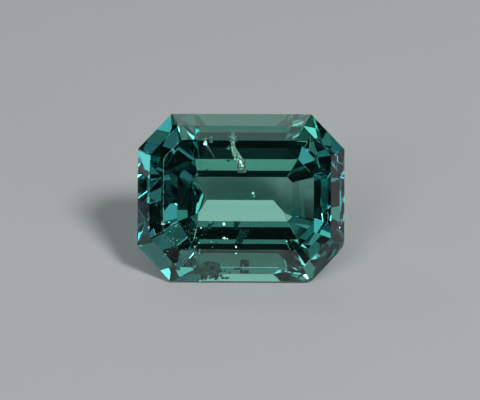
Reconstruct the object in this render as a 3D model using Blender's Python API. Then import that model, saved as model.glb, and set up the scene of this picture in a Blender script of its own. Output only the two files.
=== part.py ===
"""A loose sapphire in an octagonal step cut (emerald cut), lying on one long facet of its pavilion.

The stone is cut as a lapidary cuts it. A rough block is laid down, and each facet is one flat cut. The cuts
come in tiers, and a tier joins one octagon to the next: table, crown break, girdle, two pavilion breaks, keel.
Sizes are in millimetres in the cutting frame, where X is the stone's length, Y its width and Z runs out of the
table from the middle of the girdle. The finished stone is then tipped on to the facet that it rests on.
"""

import math
from collections import namedtuple

import bmesh
import bpy
from mathutils import Matrix, Vector

MM = 0.001

GIRDLE_WIDTH = 6.10
GIRDLE_LENGTH = 7.51
GIRDLE_THICKNESS = 0.13
GIRDLE_CORNER_CUT = 1.21
CORNER_AZIMUTH = 43.4

CROWN_HEIGHT = 0.82
PAVILION_DEPTH = 3.19

HALF_WIDTH = GIRDLE_WIDTH / 2
HALF_LENGTH = GIRDLE_LENGTH / 2

# One octagon: its height, its half length and half width, how far each corner is cut back along the length,
# and how far the octagon sits off the stone's middle, as a hand-cut stone's do.
Octagon = namedtuple("Octagon", "z half_length half_width corner_cut shift_x shift_y")

TABLE = Octagon(CROWN_HEIGHT, 2.71, 2.00, 0.63, -0.06, 0.02)
CROWN_BREAK = Octagon(0.58, 3.27, 2.56, 1.00, -0.01, -0.02)
GIRDLE_TOP = Octagon(GIRDLE_THICKNESS / 2, HALF_LENGTH, HALF_WIDTH, GIRDLE_CORNER_CUT, 0.0, 0.0)
GIRDLE_FOOT = GIRDLE_TOP._replace(z=-GIRDLE_THICKNESS / 2)
UPPER_BREAK = Octagon(-2.16, 2.52, 1.48, 0.62, 0.17, 0.03)
LOWER_BREAK = Octagon(-2.74, 1.83, 0.82, 0.19, 0.03, 0.06)
KEEL = Octagon(-PAVILION_DEPTH, 1.22, 0.0, -0.28, -0.07, 0.06)

LEVELS = [TABLE, CROWN_BREAK, GIRDLE_TOP, GIRDLE_FOOT, UPPER_BREAK, LOWER_BREAK, KEEL]

RESTS_BETWEEN = (GIRDLE_FOOT, UPPER_BREAK)

SAPPHIRE_TEAL = (0.05, 0.33, 0.29, 1.0)
SAPPHIRE_IOR = 1.765


def clear_scene():
    for obj in list(bpy.data.objects):
        bpy.data.objects.remove(obj)


def reach(octagon, azimuth):
    """How far the octagon's side that faces this azimuth lies from the stone's axis."""
    across = Vector((math.cos(azimuth), math.sin(azimuth)))
    if abs(across.y) < 1e-6:
        side = octagon.half_length
    elif abs(across.x) < 1e-6:
        side = octagon.half_width
    else:
        corner = Vector((octagon.half_length - octagon.corner_cut, octagon.half_width))
        side = corner.dot(Vector((abs(across.x), abs(across.y))))
    return side + across.dot(Vector((octagon.shift_x, octagon.shift_y)))


def facet_plane(upper, lower, azimuth):
    """A point on the facet that joins two octagons at this azimuth, and the facet's outward normal."""
    run = reach(lower, azimuth) - reach(upper, azimuth)
    drop = upper.z - lower.z
    point = Vector((reach(upper, azimuth) * math.cos(azimuth), reach(upper, azimuth) * math.sin(azimuth), upper.z))
    normal = Vector((drop * math.cos(azimuth), drop * math.sin(azimuth), run)).normalized()
    return point, normal


def azimuths():
    """The eight directions that facets face, from the right end round to the lower right corner."""
    corner = math.radians(CORNER_AZIMUTH)
    half_turn = math.pi
    return [0.0, corner, half_turn / 2, half_turn - corner, half_turn, half_turn + corner, -half_turn / 2, -corner]


def cut(block, point, normal):
    """Takes off all that lies in front of a plane, and closes the flat face that is left."""
    made = bmesh.ops.bisect_plane(
        block,
        geom=block.verts[:] + block.edges[:] + block.faces[:],
        dist=1e-7,
        plane_co=point * MM,
        plane_no=normal,
        clear_outer=True,
    )
    rim = [item for item in made["geom_cut"] if isinstance(item, bmesh.types.BMEdge)]
    if rim:
        bmesh.ops.contextual_create(block, geom=rim)


def cut_stone():
    """The stone in its cutting frame."""
    block = bmesh.new()
    bmesh.ops.create_cube(block, size=3 * GIRDLE_LENGTH * MM)
    cut(block, Vector((0, 0, TABLE.z)), Vector((0, 0, 1)))
    for upper, lower in zip(LEVELS, LEVELS[1:]):
        for azimuth in azimuths():
            cut(block, *facet_plane(upper, lower, azimuth))
    bmesh.ops.remove_doubles(block, verts=block.verts[:], dist=1e-7)
    bmesh.ops.recalc_face_normals(block, faces=block.faces[:])
    return block


def resting_turn():
    """The turn about X that lays the long pavilion facet under the table's lower edge flat on the ground."""
    _, normal = facet_plane(*RESTS_BETWEEN, -math.pi / 2)
    return Matrix.Rotation(math.pi / 2 - math.atan2(-normal.z, -normal.y), 4, "X")


def set_down(block):
    """Tips the stone on to its resting facet, with the middle of its underside at the origin."""
    bmesh.ops.transform(block, matrix=resting_turn(), verts=block.verts[:])
    low = Vector(min(v.co[i] for v in block.verts) for i in range(3))
    high = Vector(max(v.co[i] for v in block.verts) for i in range(3))
    middle = (low + high) / 2
    bmesh.ops.translate(block, vec=Vector((-middle.x, -middle.y, -low.z)), verts=block.verts[:])


def sapphire_material():
    material = bpy.data.materials.new("sapphire")
    material.use_nodes = True
    shader = material.node_tree.nodes["Principled BSDF"]
    shader.inputs["Base Color"].default_value = SAPPHIRE_TEAL
    shader.inputs["Roughness"].default_value = 0.0
    shader.inputs["Metallic"].default_value = 0.0
    shader.inputs["IOR"].default_value = SAPPHIRE_IOR
    shader.inputs["Transmission Weight"].default_value = 1.0
    return material


def add_stone():
    block = cut_stone()
    set_down(block)
    mesh = bpy.data.meshes.new("cut_sapphire")
    block.to_mesh(mesh)
    block.free()
    mesh.materials.append(sapphire_material())
    stone = bpy.data.objects.new("cut_sapphire", mesh)
    bpy.context.scene.collection.objects.link(stone)
    return stone


clear_scene()
add_stone()
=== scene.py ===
"""Looks of a loose teal sapphire in an octagonal step cut, lying on a pale table.

Sizes are in mm in the stone's cutting frame: X along its length, Y across it, Z out of the table. The marks
inside it are placed by where they show in the picture, in points across and down from its top left corner, and
by how deep each lies along the line of sight.
"""

import math
import random
from collections import namedtuple

import bmesh
import bpy
from mathutils import Matrix, Vector, noise
from mathutils.bvhtree import BVHTree

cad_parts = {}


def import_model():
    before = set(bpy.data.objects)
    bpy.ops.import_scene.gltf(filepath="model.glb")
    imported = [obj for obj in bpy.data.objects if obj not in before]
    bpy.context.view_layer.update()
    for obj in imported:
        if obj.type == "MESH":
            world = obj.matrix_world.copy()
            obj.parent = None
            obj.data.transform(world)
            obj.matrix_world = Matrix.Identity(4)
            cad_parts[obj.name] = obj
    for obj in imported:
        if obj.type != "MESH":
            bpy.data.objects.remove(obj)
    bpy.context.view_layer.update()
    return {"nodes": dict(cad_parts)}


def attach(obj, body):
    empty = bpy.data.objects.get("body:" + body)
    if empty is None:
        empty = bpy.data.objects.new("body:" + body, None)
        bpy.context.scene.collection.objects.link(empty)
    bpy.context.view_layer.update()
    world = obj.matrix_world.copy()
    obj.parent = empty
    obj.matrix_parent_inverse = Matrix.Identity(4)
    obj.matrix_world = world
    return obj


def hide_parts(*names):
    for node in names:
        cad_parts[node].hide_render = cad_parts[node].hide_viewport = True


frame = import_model()

MM = 0.001
CROWN_HEIGHT = 0.82
GIRDLE_THICKNESS = 0.13
# Corners this near (m) are one corner, and triangles this near to one plane (degrees) are one facet.
SAME_CORNER = 1e-8
SAME_FACET = 0.05
# The table is the largest facet that faces up and at least this far forward.
FORWARD = -0.3

# The camera, by how the table lies to it: turned to its right, tipped up, and rolled, in degrees.
VIEW_YAW = -1.52
VIEW_PITCH = 5.76
VIEW_ROLL = -0.38
VIEW_DISTANCE = 91.5
LENS = 189.0
SENSOR = 36.0
PICTURE = (480, 400)
# Where the middle of the girdle shows in the picture.
STONE_AT = (240.9, 197.6)

# The crystal absorbs red most. Its skin turns bluer this far off the middle, with a wandering border.
IOR = 1.765
ABSORBED_PER_METRE = (252.0, 90.0, 88.0)
MIDDLE_TINT = (0.80, 1.0, 0.83)
END_TINT = (0.62, 0.88, 1.0)
TINT_TURNS = (3.15, 3.85)
TINT_WANDERS = 0.5
POLISHED_ROUGHNESS = 0.012
GROUND_ROUGHNESS = 0.42
GROUND_VARIES = 0.25
# The ground band fades out between these shares of the girdle's thickness, from its middle.
GROUND_BAND = (0.42, 0.52)
# Patches of colour, of polish and of grinding in one mm, and how finely noise is broken up.
TINT_PATCHES = 0.9
POLISH_PATCHES = 2.5
GROUND_GRAINS = 30.0
NOISE_DETAIL = 3.0

EDGE_WEAR = 0.007
# Flakes off the girdle's corners: near which corner, which way the break faces, and how deep it is.
NICKS = [
    ((3.78, -2.1, 0.0), (1.0, -0.62, 0.35), 0.10),
    ((2.6, -3.05, 0.0), (0.45, -1.0, 0.5), 0.07),
    ((-2.6, -3.05, 0.0), (-0.5, -1.0, -0.6), 0.05),
]
NICK_REACH = 1.0

# Marks inside stay this far under the facets, and their random draws start from one seed.
SKIN = 0.03
SEED = 7
# What the marks are made of: light and dark colour, greatest roughness, and patches of colour in one mm.
Mineral = namedtuple("Mineral", "name light dark roughness patches metallic")
PALE = Mineral("pale_inclusion", (0.90, 1.0, 0.98), (0.50, 0.76, 0.73), 0.5, 9.0, 0.0)
BRIGHT = Mineral("bright_inclusion", (0.70, 0.96, 0.91), (0.42, 0.62, 0.58), 0.40, 9.0, 1.0)
DARK = Mineral("dark_inclusion", (0.03, 0.42, 0.35), (0.008, 0.13, 0.11), 0.6, 7.0, 0.0)
# The noise turns from dark to light, and from smoothest to roughest, between these values.
MOTTLE = (0.35, 0.65)
ROUGH_MOTTLE = (0.3, 0.7)
SMOOTHEST_SHARE = 0.7

# The etched tube: its route, its half widths along it, and how far from its middle each strand lies, as a
# share of the half width.
COLUMN_ROUTE = [
    (233.3, 133, 1.25), (232.3, 138, 1.16), (232.6, 143, 1.08), (233.6, 148, 1.0),
    (236.0, 153, 0.9), (238.2, 158, 0.8), (241.2, 163, 0.72), (242.4, 168, 0.64), (242.6, 172.5, 0.58),
]
COLUMN_WIDTHS = [0.07, 0.05, 0.06, 0.085, 0.12, 0.145, 0.175, 0.165, 0.15]
COLUMN_STRANDS = (-0.62, 0.05, 0.66)
COLUMN_GRAINS = 90
COLUMN_GLINTS = 58
COLUMN_FOOT = (242.4, 171.2, 0.66)
COLUMN_FOOT_RADIUS = 0.15
# Grains at the tube's head: across, down and radius.
COLUMN_HEAD = ((233.5, 134, 0.06), (236.0, 137, 0.035), (230.0, 140.5, 0.03), (237.0, 131.5, 0.03))

# The bright needle: its route, its half widths along it, and the grains at its head (across, down, radius).
NEEDLE_ROUTE = [(205.0, 142.0, 0.66), (207.0, 145.5, 0.75), (210.5, 151, 0.9), (214.5, 158, 1.1)]
NEEDLE_WIDTHS = [0.05, 0.035, 0.022, 0.010]
NEEDLE_HEAD = ((211.5, 137.5, 0.04), (209.8, 142, 0.03))

# How deep the grains at both heads lie.
HEAD_DEPTH = 0.8

# Pinpoints: across, down, radius, and how much longer than wide.
PINPOINTS = (
    (205.4, 143.4, 0.075, 1.45), (253, 193, 0.045, 1.2), (224, 224, 0.05, 1.6), (224, 238, 0.06, 0.8),
    (227.5, 238.5, 0.03, 0.8), (162, 224, 0.04, 1.0), (169, 222, 0.03, 1.0), (164, 256, 0.045, 0.9),
    (254.5, 196.5, 0.025, 1.0), (287, 241, 0.035, 0.6), (195, 257, 0.045, 0.7), (195, 247, 0.035, 0.7),
    (168, 251, 0.04, 0.5), (236, 247, 0.03, 1.6), (240.6, 162.0, 0.05, 1.6), (242.6, 166.0, 0.045, 1.3),
    (236, 253.5, 0.045, 0.5), (176, 226, 0.04, 0.6), (201, 228, 0.04, 0.8),
)
GLINT_SIDES = 9
GLINT_THICKNESS = 0.3

# A patch of the picture that specks are strewn over: how many, their middle and spread, and its edges.
Patch = namedtuple("Patch", "count middle spread left right top bottom")
VEIL_GLINTS = Patch(30, (186, 236), (17, 11), 158, 232, 216, 266)
VEIL_SPECKS = Patch(50, (185, 235), (17, 12), 158, 232, 214, 266)
# Clouds of specks in the veil: across, down, how far they spread (mm), and how many specks.
VEIL_CLOUDS = (
    (176, 225, 0.13, 50), (201, 227, 0.09, 36), (182, 241, 0.12, 30), (173, 248, 0.08, 14),
    (182, 258, 0.13, 16), (195, 247, 0.05, 16), (169, 237, 0.10, 20), (190, 233, 0.14, 32),
)

# The cloudy crystal, the knobs round its rim, and the tail of crumbs on its right.
CLOUDY_AT = (209, 270.5, 0.30)
CLOUDY_RADIUS = 0.30
CLOUDY_KNOBS = 14
CLOUDY_RIM_MIDDLE = (209, 270)
CLOUDY_RIM = (9.5, 6)
TAIL_CRUMBS = 26
TAIL_MIDDLE = (217, 275)
TAIL_SPREAD = (6, 2.5)
TAIL_ENDS = (232, 279)

# The matt floor touches a polished facet only at its highest grains, so air is left between them.
FLOOR_GAP = 0.02
FLOOR_HALF = 3000.0
FLOOR_COLOUR = (0.70, 0.71, 0.72)
FLOOR_ROUGHNESS = 0.8

# The room: where its pale walls fade out, as the sine of the elevation, their glow in front of the stone and
# behind it, and the glow of all the rest.
HORIZON_TOP = (0.08, 0.16)
HORIZON_FRONT = 0.1
HORIZON_BEHIND = 0.80
ROOM = 0.01

# Round soft lights: where the stone sees them, half the angle that they fill (degrees), and their radiance.
Softbox = namedtuple("Softbox", "name azimuth elevation half_angle radiance colour", defaults=[(1, 1, 1)])
KEY = Softbox("key", 51, 52, 8, 21.0)
SOFTBOXES = [
    KEY,
    Softbox("front_left", -22, 44, 8, 2.3),
    Softbox("left", -51, 52, 8, 1.9),
    Softbox("front_left_high", -36, 68, 8, 1.0),
    Softbox("left_low", -45, 28, 8, 0.9),
    Softbox("fill", -28, 34, 10, 1.8),
    Softbox("right", 45, 36, 8, 1.1),
    Softbox("above_right", 36, 68, 8, 0.95),
    Softbox("back", -180, 44, 8, 1.35, (0.74, 1.0, 0.90)),
    Softbox("overhead", -180, 85, 8, 1.0, (0.60, 1.0, 0.93)),
    Softbox("back_low", -180, 28, 8, 0.7),
    Softbox("above", 0, 51, 6, 0.72, (1.0, 0.84, 0.72)),
    Softbox("right_low", 45, 20, 8, 0.33),
    Softbox("above_front", 0, 66, 8, 0.36),
    Softbox("side_right", 68, 36, 8, 0.28),
    Softbox("front_right_low", 46, 9, 5, 3.2),
    Softbox("front_left_low", -53, 12, 7, 1.3),
    Softbox("left_foot", -68, 4, 8, 0.45),
    Softbox("rear_left", -135, 36, 4, 6.0),
]
# How far off the lights stand, and how high over the floor the point is that they face.
SOFTBOX_DISTANCE = 300.0
SOFTBOX_AIM = 2.0

BOUNCES = 32
GLOSSY_BOUNCES = 16


def link(obj):
    bpy.context.scene.collection.objects.link(obj)
    return obj


def rides(piece):
    """Fixes a piece to the stone's body."""
    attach(piece, "root")
    return piece


def whole_facets(mesh):
    """Joins the triangles of each facet into one face."""
    bmesh.ops.remove_doubles(mesh, verts=mesh.verts[:], dist=SAME_CORNER)
    flat = math.radians(SAME_FACET)
    bmesh.ops.dissolve_limit(mesh, angle_limit=flat, verts=mesh.verts[:], edges=mesh.edges[:])


def cutting_frame(cad_stone):
    """Where the cutting frame stands in the model: the table's normal is its Z, and X is the model's X."""
    mesh = bmesh.new()
    mesh.from_mesh(cad_stone.data)
    whole_facets(mesh)
    forward_and_up = [f for f in mesh.faces if f.normal.y < FORWARD and f.normal.z > 0]
    table = max(forward_and_up, key=lambda f: f.calc_area())
    z_axis = table.normal.copy()
    mesh.free()
    x_axis = Vector((1, 0, 0))
    to_model = Matrix((x_axis, z_axis.cross(x_axis), z_axis)).transposed()
    corners = [to_model.transposed() @ v.co for v in cad_stone.data.vertices]
    low = Vector(min(c[i] for c in corners) for i in range(3))
    high = Vector(max(c[i] for c in corners) for i in range(3))
    middle = (low + high) / 2
    middle.z = high.z - CROWN_HEIGHT * MM
    return Matrix.Translation(to_model @ middle) @ to_model.to_4x4() @ Matrix.Scale(MM, 4)


def view_turn():
    """The turn from the cutting frame to the camera's axes."""
    return (
        Matrix.Rotation(math.radians(VIEW_ROLL), 4, "Z")
        @ Matrix.Rotation(-math.radians(VIEW_PITCH), 4, "X")
        @ Matrix.Rotation(math.radians(VIEW_YAW), 4, "Y")
    )


def direction_to(azimuth, elevation):
    """Towards a light: azimuth 0 is on the camera's side of the stone, and 90 is to its right."""
    a, e = math.radians(azimuth), math.radians(elevation)
    return Vector((math.sin(a) * math.cos(e), -math.cos(a) * math.cos(e), math.sin(e)))


# Nodes


def principled(name):
    material = bpy.data.materials.new(name)
    material.use_nodes = True
    nodes, links = material.node_tree.nodes, material.node_tree.links
    return material, nodes, links, nodes["Principled BSDF"]


def math_node(nodes, links, operation, *values):
    """Joins sockets and plain numbers by one operation."""
    node = nodes.new("ShaderNodeMath")
    node.operation = operation
    for socket, value in zip(node.inputs, values):
        if isinstance(value, bpy.types.NodeSocket):
            links.new(value, socket)
        else:
            socket.default_value = value
    return node.outputs["Value"]


def map_range(nodes, links, value, low, high, to_low=0.0, to_high=1.0):
    """A smooth step from one value to another."""
    node = nodes.new("ShaderNodeMapRange")
    node.interpolation_type = "SMOOTHSTEP"
    links.new(value, node.inputs["Value"])
    for key, number in (("From Min", low), ("From Max", high), ("To Min", to_low), ("To Max", to_high)):
        node.inputs[key].default_value = number
    return node.outputs["Result"]


def noise_node(nodes, links, vector, scale):
    node = nodes.new("ShaderNodeTexNoise")
    links.new(vector, node.inputs["Vector"])
    node.inputs["Scale"].default_value = scale
    node.inputs["Detail"].default_value = NOISE_DETAIL
    return node.outputs["Fac"]


def mix_colour(nodes, links, factor, a, b):
    """From colour a to colour b."""
    node = nodes.new("ShaderNodeMix")
    node.data_type = "RGBA"
    links.new(factor, node.inputs["Factor"])
    for key, colour in (("A", a), ("B", b)):
        socket = next(s for s in node.inputs if s.name == key and s.type == "RGBA")
        socket.default_value = (*colour, 1)
    return next(s for s in node.outputs if s.type == "RGBA")


def cutting_coordinates(nodes, links, placed):
    """A point's place in the cutting frame, in mm."""
    back = placed.inverted()
    where = nodes.new("ShaderNodeTexCoord")
    mapping = nodes.new("ShaderNodeMapping")
    mapping.vector_type = "POINT"
    mapping.inputs["Location"].default_value = back.to_translation()
    mapping.inputs["Rotation"].default_value = back.to_euler()
    mapping.inputs["Scale"].default_value = back.to_scale()
    links.new(where.outputs["Object"], mapping.inputs["Vector"])
    return mapping.outputs["Vector"]


def skin_tint(nodes, links, place, from_middle):
    """Teal in the middle of the stone's length and bluer at both ends, with a wandering border."""
    patchy = noise_node(nodes, links, place, TINT_PATCHES)
    wandering = math_node(nodes, links, "MULTIPLY", patchy, TINT_WANDERS)
    zone = map_range(nodes, links, math_node(nodes, links, "ADD", from_middle, wandering), *TINT_TURNS)
    return mix_colour(nodes, links, zone, MIDDLE_TINT, END_TINT)


def skin_roughness(nodes, links, place, height):
    """Polished facets, each a little uneven, and a ground girdle."""
    polished = map_range(nodes, links, height, *[GIRDLE_THICKNESS * share for share in GROUND_BAND])
    polish_patches = noise_node(nodes, links, place, POLISH_PATCHES)
    polish = math_node(nodes, links, "MULTIPLY", polish_patches, POLISHED_ROUGHNESS)
    ground_grains = noise_node(nodes, links, place, GROUND_GRAINS)
    varied = math_node(nodes, links, "MULTIPLY", ground_grains, GROUND_VARIES)
    ground = math_node(nodes, links, "ADD", varied, GROUND_ROUGHNESS)
    rough = nodes.new("ShaderNodeMix")
    links.new(polished, rough.inputs["Factor"])
    links.new(ground, rough.inputs["A"])
    links.new(polish, rough.inputs["B"])
    return rough.outputs["Result"]


def sapphire(placed):
    """Clear corundum, teal by absorption, with a bluer skin at both ends and a ground girdle."""
    material, nodes, links, shader = principled("teal_sapphire")
    shader.inputs["IOR"].default_value = IOR
    shader.inputs["Transmission Weight"].default_value = 1.0
    place = cutting_coordinates(nodes, links, placed)
    split = nodes.new("ShaderNodeSeparateXYZ")
    links.new(place, split.inputs["Vector"])
    from_middle = math_node(nodes, links, "ABSOLUTE", split.outputs["X"])
    links.new(skin_tint(nodes, links, place, from_middle), shader.inputs["Base Color"])
    height = math_node(nodes, links, "ABSOLUTE", split.outputs["Z"])
    links.new(skin_roughness(nodes, links, place, height), shader.inputs["Roughness"])
    absorbing = nodes.new("ShaderNodeVolumeAbsorption")
    most = max(ABSORBED_PER_METRE)
    absorbing.inputs["Color"].default_value = (*[1 - a / most for a in ABSORBED_PER_METRE], 1)
    absorbing.inputs["Density"].default_value = most
    links.new(absorbing.outputs["Volume"], nodes["Material Output"].inputs["Volume"])
    return material


def mineral_material(mineral):
    """A grown mark's surface, mottled from light to dark."""
    material, nodes, links, shader = principled(mineral.name)
    where = nodes.new("ShaderNodeTexCoord")
    mottled = noise_node(nodes, links, where.outputs["Object"], mineral.patches / MM)
    lightness = map_range(nodes, links, mottled, *MOTTLE)
    links.new(mix_colour(nodes, links, lightness, mineral.dark, mineral.light), shader.inputs["Base Color"])
    shader.inputs["Metallic"].default_value = mineral.metallic
    smoothest = mineral.roughness * SMOOTHEST_SHARE
    varied = map_range(nodes, links, mottled, *ROUGH_MOTTLE, smoothest, mineral.roughness)
    links.new(varied, shader.inputs["Roughness"])
    return material


# The stone


def nick(mesh, corner, facing, depth):
    """Breaks a flake off: all beyond a plane this deep under the stone's furthest point that way."""
    normal = Vector(facing).normalized()
    near = [v for v in mesh.verts if (v.co - Vector(corner)).length < NICK_REACH]
    furthest = max(near, key=lambda v: v.co.dot(normal)).co
    made = bmesh.ops.bisect_plane(
        mesh,
        geom=mesh.verts[:] + mesh.edges[:] + mesh.faces[:],
        dist=1e-5,
        plane_co=furthest - normal * depth,
        plane_no=normal,
        clear_outer=True,
    )
    rim = [item for item in made["geom_cut"] if isinstance(item, bmesh.types.BMEdge)]
    bmesh.ops.contextual_create(mesh, geom=rim)


def stone_mesh(cad_stone, placed):
    """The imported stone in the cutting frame, one face for each facet."""
    mesh = bmesh.new()
    mesh.from_mesh(cad_stone.data)
    whole_facets(mesh)
    bmesh.ops.transform(mesh, matrix=placed.inverted(), verts=mesh.verts[:])
    bmesh.ops.recalc_face_normals(mesh, faces=mesh.faces[:])
    return mesh


def stone_piece(facets, placed):
    """The stone with its flakes broken off and its edges worn."""
    mesh = facets.copy()
    for corner, facing, depth in NICKS:
        nick(mesh, corner, facing, depth)
    bmesh.ops.bevel(
        mesh,
        geom=mesh.edges[:],
        offset=EDGE_WEAR,
        offset_type="OFFSET",
        segments=1,
        affect="EDGES",
        clamp_overlap=True,
    )
    bmesh.ops.transform(mesh, matrix=placed, verts=mesh.verts[:])
    data = bpy.data.meshes.new("faceted_stone")
    mesh.to_mesh(data)
    mesh.free()
    data.materials.append(sapphire(placed))
    return link(bpy.data.objects.new("faceted_stone", data))


# Marks inside the stone

# What every mark is made with: the stone's facets, a tree to trace rays to them, where the cutting frame
# stands, and the random draws.
Inside = namedtuple("Inside", "facets tree placed rng")


def sight_line(tree, x, y):
    """Where a picture point's line of sight enters the stone, and which way it goes on inside."""
    turn = view_turn().inverted()
    eye = turn @ Vector((0, 0, VIEW_DISTANCE))
    scale = PICTURE[0] * LENS / SENSOR / VIEW_DISTANCE
    on_plane = turn @ Vector(((x - STONE_AT[0]) / scale, (STONE_AT[1] - y) / scale, 0))
    ray = (on_plane - eye).normalized()
    hit, normal, _, _ = tree.ray_cast(eye, ray)
    cos_in = -ray.dot(normal)
    cos_out = math.sqrt(1 - (1 - cos_in**2) / IOR**2)
    return hit, ray / IOR + (cos_in / IOR - cos_out) * normal


def seen_in_stone(tree, x, y, depth):
    """The place that shows at a picture point, this deep under the facet that covers it."""
    hit, sight = sight_line(tree, x, y)
    return hit + sight * depth


def keep_inside(mesh, facets):
    """Flattens whatever would reach through a facet, as the cutter's wheel does."""
    planes = [(f.normal.copy(), f.verts[0].co.copy()) for f in facets.faces]
    for v in mesh.verts:
        for normal, point in planes:
            over = (v.co - point).dot(normal) + SKIN
            if over > 0:
                v.co -= normal * over


def add_piece(name, mesh, inside, material):
    """Makes a mark a piece of the stone."""
    keep_inside(mesh, inside.facets)
    bmesh.ops.recalc_face_normals(mesh, faces=mesh.faces[:])
    bmesh.ops.transform(mesh, matrix=inside.placed, verts=mesh.verts[:])
    data = bpy.data.meshes.new(name)
    mesh.to_mesh(data)
    mesh.free()
    data.materials.append(material)
    rides(link(bpy.data.objects.new(name, data)))


def crumb(mesh, centre, radius, rng, squash=(1, 1, 1), rough=0.25, level=1):
    """A small irregular grain."""
    made = bmesh.ops.create_icosphere(mesh, subdivisions=level, radius=radius)
    seed = Vector((rng.uniform(-9, 9), rng.uniform(-9, 9), rng.uniform(-9, 9)))
    for v in made["verts"]:
        at = v.co / radius
        push = 1 + rough * noise.noise(at + seed) + 0.4 * rough * noise.noise(at * 3 + seed)
        v.co = centre + Vector(c * s for c, s in zip(v.co * push, squash))


def rod(mesh, path, widths, rng, uneven, sides=7, steps=3):
    """A slim grown rod: uneven rings along a path, closed at both ends."""
    points, sizes = [], []
    for i in range(len(path) - 1):
        for k in range(steps):
            t = k / steps
            points.append(path[i].lerp(path[i + 1], t))
            sizes.append(widths[i] * (1 - t) + widths[i + 1] * t)
    points.append(path[-1])
    sizes.append(widths[-1])
    rings = []
    for i, (point, width) in enumerate(zip(points, sizes)):
        ahead = points[min(i + 1, len(points) - 1)] - points[max(i - 1, 0)]
        side = ahead.cross(Vector((0, 0, 1))).normalized()
        up = side.cross(ahead).normalized()
        ring = []
        for k in range(sides):
            a = 2 * math.pi * k / sides
            out = width * (1 + rng.uniform(-uneven, uneven))
            ring.append(mesh.verts.new(point + out * (math.cos(a) * side + 0.6 * math.sin(a) * up)))
        rings.append(ring)
    for a, b in zip(rings, rings[1:]):
        for k in range(sides):
            mesh.faces.new((a[k], a[(k + 1) % sides], b[(k + 1) % sides], b[k]))
    mesh.faces.new(rings[0][::-1])
    mesh.faces.new(rings[-1])


def along(path, widths, t):
    """The place and the width at a share of a path's length, from 0 to 1."""
    at = t * (len(path) - 1)
    i = min(int(at), len(path) - 2)
    return path[i].lerp(path[i + 1], at - i), widths[i] + (widths[i + 1] - widths[i]) * (at - i)


def etched_tube(mesh, path, widths, rng):
    """An etched tube: uneven strands side by side along one path, with grains stuck between them."""
    for side in COLUMN_STRANDS:
        points = [
            point + Vector((width * (side + rng.uniform(-0.2, 0.2)), 0, width * rng.uniform(-0.5, 0.5)))
            for point, width in zip(path, widths)
        ]
        rod(mesh, points, [width * rng.uniform(0.26, 0.46) for width in widths], rng, uneven=0.3)
    for _ in range(COLUMN_GRAINS):
        point, width = along(path, widths, rng.random())
        aside = Vector((width * rng.uniform(-0.95, 0.95), 0, width * rng.uniform(-0.5, 0.5)))
        crumb(mesh, point + aside, max(0.012, width * rng.uniform(0.12, 0.34)), rng, rough=0.7)


def glint(mesh, inside, x, y, depth, radius, stretch=1.0, tilt=0.0):
    """A flat grown face that shows at a picture point, and throws the key light at the camera."""
    rng = inside.rng
    hit, sight = sight_line(inside.tree, x, y)
    key = inside.placed.to_3x3().normalized().inverted() @ direction_to(KEY.azimuth, KEY.elevation)
    key_inside = Vector((key.x / IOR, key.y / IOR, math.sqrt(1 - (key.x**2 + key.y**2) / IOR**2)))
    off = Vector((rng.gauss(0, tilt), rng.gauss(0, tilt), 0))
    normal = ((key_inside - sight).normalized() + off).normalized()
    across = normal.cross(Vector((0, 1, 0))).normalized()
    lengthways = normal.cross(across)
    rim = []
    for k in range(GLINT_SIDES):
        turn = 2 * math.pi * k / GLINT_SIDES
        out = radius * rng.uniform(0.75, 1.15)
        away = math.cos(turn) * across + stretch * math.sin(turn) * lengthways
        rim.append(hit + sight * depth + out * away)
    front = [mesh.verts.new(point) for point in rim]
    back = [mesh.verts.new(point - normal * radius * GLINT_THICKNESS) for point in rim]
    mesh.faces.new(front)
    mesh.faces.new(back[::-1])
    for k in range(GLINT_SIDES):
        after = (k + 1) % GLINT_SIDES
        mesh.faces.new((front[k], back[k], back[after], front[after]))


def strewn(patch, rng):
    """Picture points strewn over a patch, without those that fall past its edges."""
    for _ in range(patch.count):
        x, y = (rng.gauss(middle, spread) for middle, spread in zip(patch.middle, patch.spread))
        if patch.left < x < patch.right and patch.top < y < patch.bottom:
            yield x, y


def haze(mesh, centre, spread, count, rng):
    """A soft cloud of specks too small to be told apart."""
    for _ in range(count):
        away = Vector((rng.gauss(0, spread), rng.gauss(0, spread * 0.7), rng.gauss(0, spread)))
        crumb(mesh, centre + away, rng.uniform(0.006, 0.014), rng)


def etched_column(inside, material):
    """The etched tube, with its blunt foot and the grains at its head."""
    tree, rng = inside.tree, inside.rng
    mesh = bmesh.new()
    etched_tube(mesh, [seen_in_stone(tree, *p) for p in COLUMN_ROUTE], COLUMN_WIDTHS, rng)
    foot = seen_in_stone(tree, *COLUMN_FOOT)
    crumb(mesh, foot, COLUMN_FOOT_RADIUS, rng, squash=(1.05, 0.5, 0.8), rough=0.45, level=3)
    for x, y, radius in COLUMN_HEAD:
        crumb(mesh, seen_in_stone(tree, x, y, HEAD_DEPTH), radius, rng, rough=0.7, level=2)
    add_piece("etched_column", mesh, inside, material)


def bright_needle(inside, material):
    """The needle, with the grains at its head."""
    tree, rng = inside.tree, inside.rng
    mesh = bmesh.new()
    rod(mesh, [seen_in_stone(tree, *p) for p in NEEDLE_ROUTE], NEEDLE_WIDTHS, rng, uneven=0.18)
    for x, y, radius in NEEDLE_HEAD:
        crumb(mesh, seen_in_stone(tree, x, y, HEAD_DEPTH), radius, rng, rough=0.6, level=2)
    add_piece("bright_needle", mesh, inside, material)


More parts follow.
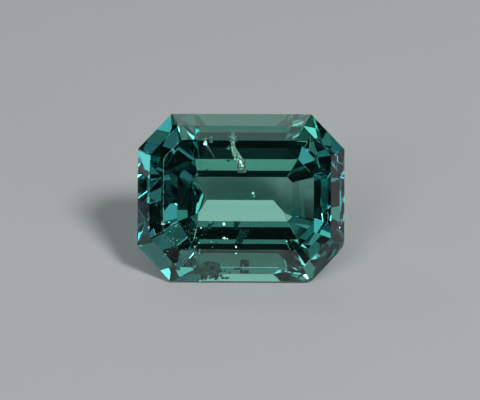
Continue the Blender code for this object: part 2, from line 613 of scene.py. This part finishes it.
def pinpoint_grains(inside, material):
    """The single pinpoints, the bright grains on the tube, and those in the veil."""
    rng = inside.rng
    mesh = bmesh.new()
    for x, y, radius, stretch in PINPOINTS:
        glint(mesh, inside, x, y, rng.uniform(0.3, 0.45), radius, stretch)
    column = [Vector(p) for p in COLUMN_ROUTE]
    for _ in range(COLUMN_GLINTS):
        t = rng.random() ** 0.6
        (x, y, depth), _ = along(column, COLUMN_WIDTHS, t)
        half = 1.2 + 3.2 * t
        glint(
            mesh,
            inside,
            x + rng.uniform(-half, half),
            y + rng.uniform(-1, 1),
            depth - 0.19,
            radius=rng.uniform(0.012, 0.030),
            stretch=rng.uniform(0.7, 2.4),
            tilt=0.07,
        )
    for x, y in strewn(VEIL_GLINTS, rng):
        glint(mesh, inside, x, y, rng.uniform(0.25, 0.9), rng.uniform(0.008, 0.020), tilt=0.07)
    add_piece("pinpoint_grains", mesh, inside, material)


def pinpoint_veil(inside, material):
    """The veil of specks at the lower left."""
    tree, rng = inside.tree, inside.rng
    mesh = bmesh.new()
    for x, y, spread, count in VEIL_CLOUDS:
        haze(mesh, seen_in_stone(tree, x, y, rng.uniform(0.5, 1.0)), spread, count, rng)
    for x, y in strewn(VEIL_SPECKS, rng):
        crumb(mesh, seen_in_stone(tree, x, y, rng.uniform(0.25, 1.4)), rng.uniform(0.007, 0.016), rng)
    add_piece("pinpoint_veil", mesh, inside, material)


def cloudy_crystal(inside, material):
    """The knobbly crystal at the lower edge, with its tail of crumbs."""
    tree, rng = inside.tree, inside.rng
    mesh = bmesh.new()
    middle = seen_in_stone(tree, *CLOUDY_AT)
    crumb(mesh, middle, CLOUDY_RADIUS, rng, squash=(1.25, 0.85, 0.45), rough=0.5, level=4)
    for _ in range(CLOUDY_KNOBS):
        turn = rng.uniform(0, 2 * math.pi)
        x = CLOUDY_RIM_MIDDLE[0] + CLOUDY_RIM[0] * math.cos(turn)
        y = CLOUDY_RIM_MIDDLE[1] + CLOUDY_RIM[1] * math.sin(turn)
        knob = seen_in_stone(tree, x, y, rng.uniform(0.16, 0.3))
        crumb(mesh, knob, rng.uniform(0.06, 0.12), rng, rough=0.6, level=3)
    for _ in range(TAIL_CRUMBS):
        x, y = (rng.gauss(mid, spread) for mid, spread in zip(TAIL_MIDDLE, TAIL_SPREAD))
        place = seen_in_stone(tree, min(x, TAIL_ENDS[0]), min(y, TAIL_ENDS[1]), rng.uniform(0.10, 0.25))
        crumb(mesh, place, rng.uniform(0.025, 0.07), rng, rough=0.6)
    add_piece("cloudy_crystal", mesh, inside, material)


def marks_inside(facets, placed):
    inside = Inside(facets, BVHTree.FromBMesh(facets), placed, random.Random(SEED))
    pale, bright, dark = (mineral_material(mineral) for mineral in (PALE, BRIGHT, DARK))
    etched_column(inside, pale)
    bright_needle(inside, pale)
    pinpoint_grains(inside, bright)
    pinpoint_veil(inside, pale)
    cloudy_crystal(inside, dark)


# The studio


def floor():
    """A plain matt table."""
    mesh = bmesh.new()
    bmesh.ops.create_grid(mesh, x_segments=1, y_segments=1, size=FLOOR_HALF * MM)
    bmesh.ops.translate(mesh, vec=Vector((0, 0, -FLOOR_GAP * MM)), verts=mesh.verts[:])
    data = bpy.data.meshes.new("floor")
    mesh.to_mesh(data)
    mesh.free()
    piece = link(bpy.data.objects.new("floor", data))
    material, _, _, shader = principled("pale_floor")
    shader.inputs["Base Color"].default_value = (*FLOOR_COLOUR, 1)
    shader.inputs["Roughness"].default_value = FLOOR_ROUGHNESS
    data.materials.append(material)


def softbox(box):
    """A round soft light, sized by the angle it fills as the stone sees it."""
    radius = SOFTBOX_DISTANCE * MM * math.tan(math.radians(box.half_angle))
    light = bpy.data.lights.new(box.name, "AREA")
    light.shape = "DISK"
    light.size = 2 * radius
    light.energy = box.radiance * math.pi * math.pi * radius**2
    light.color = box.colour
    obj = link(bpy.data.objects.new(box.name, light))
    towards = direction_to(box.azimuth, box.elevation)
    obj.location = Vector((0, 0, SOFTBOX_AIM * MM)) + towards * SOFTBOX_DISTANCE * MM
    obj.rotation_euler = towards.to_track_quat("Z", "Y").to_euler()


def camera(placed):
    """The photograph's camera: off the table's normal by the view's three turns."""
    data = bpy.data.cameras.new("camera")
    data.lens = LENS
    data.sensor_width = SENSOR
    data.shift_x = (PICTURE[0] / 2 - STONE_AT[0]) / PICTURE[0]
    data.shift_y = (STONE_AT[1] - PICTURE[1] / 2) / PICTURE[0]
    data.clip_start = 0.001
    data.clip_end = 10
    obj = link(bpy.data.objects.new("camera", data))
    rigid = placed @ Matrix.Scale(1 / MM, 4)
    obj.matrix_world = rigid @ view_turn().inverted() @ Matrix.Translation((0, 0, VIEW_DISTANCE * MM))
    bpy.context.scene.camera = obj


def world():
    """A dim room whose pale far walls make a bright band at the horizon, brightest behind the stone."""
    scene = bpy.context.scene
    scene.world = bpy.data.worlds.new("studio")
    scene.world.use_nodes = True
    nodes, links = scene.world.node_tree.nodes, scene.world.node_tree.links
    where = nodes.new("ShaderNodeTexCoord")
    split = nodes.new("ShaderNodeSeparateXYZ")
    links.new(where.outputs["Generated"], split.inputs["Vector"])
    band = map_range(nodes, links, split.outputs["Z"], *HORIZON_TOP, 1.0, 0.0)
    behind = map_range(nodes, links, split.outputs["Y"], -1.0, 1.0, HORIZON_FRONT, HORIZON_BEHIND)
    glow = math_node(nodes, links, "ADD", math_node(nodes, links, "MULTIPLY", band, behind), ROOM)
    background = nodes["Background"]
    background.inputs["Color"].default_value = (1.0, 1.0, 1.0, 1)
    links.new(glow, background.inputs["Strength"])


def light_paths():
    """Enough turns inside the stone for its facets to be seen through one another."""
    scene = bpy.context.scene
    scene.cycles.max_bounces = BOUNCES
    scene.cycles.transmission_bounces = BOUNCES
    scene.cycles.glossy_bounces = GLOSSY_BOUNCES
    scene.cycles.caustics_refractive = True
    scene.cycles.caustics_reflective = False
    scene.view_settings.view_transform = "Standard"


cad_stone = frame["nodes"]["cut_sapphire"]
placed = cutting_frame(cad_stone)
facets = stone_mesh(cad_stone, placed)
stone = rides(stone_piece(facets, placed))
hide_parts("cut_sapphire")
marks_inside(facets, placed)
facets.free()

floor()
camera(placed)
world()
for box in SOFTBOXES:
    softbox(box)
light_paths()
